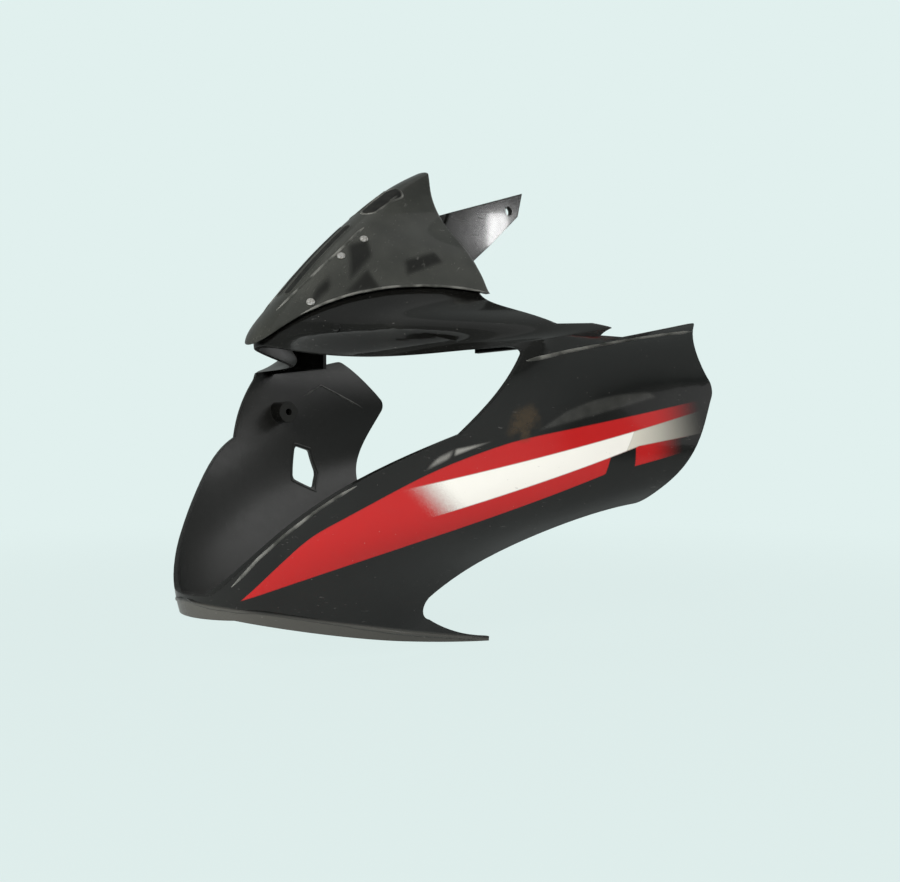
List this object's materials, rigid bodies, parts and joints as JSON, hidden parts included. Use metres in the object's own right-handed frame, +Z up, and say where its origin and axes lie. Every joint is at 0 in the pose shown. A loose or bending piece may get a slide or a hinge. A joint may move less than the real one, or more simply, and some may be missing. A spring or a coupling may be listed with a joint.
{
  "type": "headlight visor",
  "caption": "Moulded headlight visor of a small motorbike: raked V-shaped lamp opening between two swept side panels, pointed brow, seated windscreen and rear stays",
  "frame": {"origin": "midway between the two headlamp bosses, on their common axis", "axes": "+Z up, the front faces -Y, +X is the rider's left"},
  "size_m": [0.3058, 0.2361, 0.27],
  "materials": {
    "cowl": "gloss black moulding with stripe decals",
    "windscreen": "smoke grey gloss moulding"
  },
  "bodies": {
    "root": {"cowl": "cowl", "windscreen": "windscreen"}
  },
  "joints": []
}
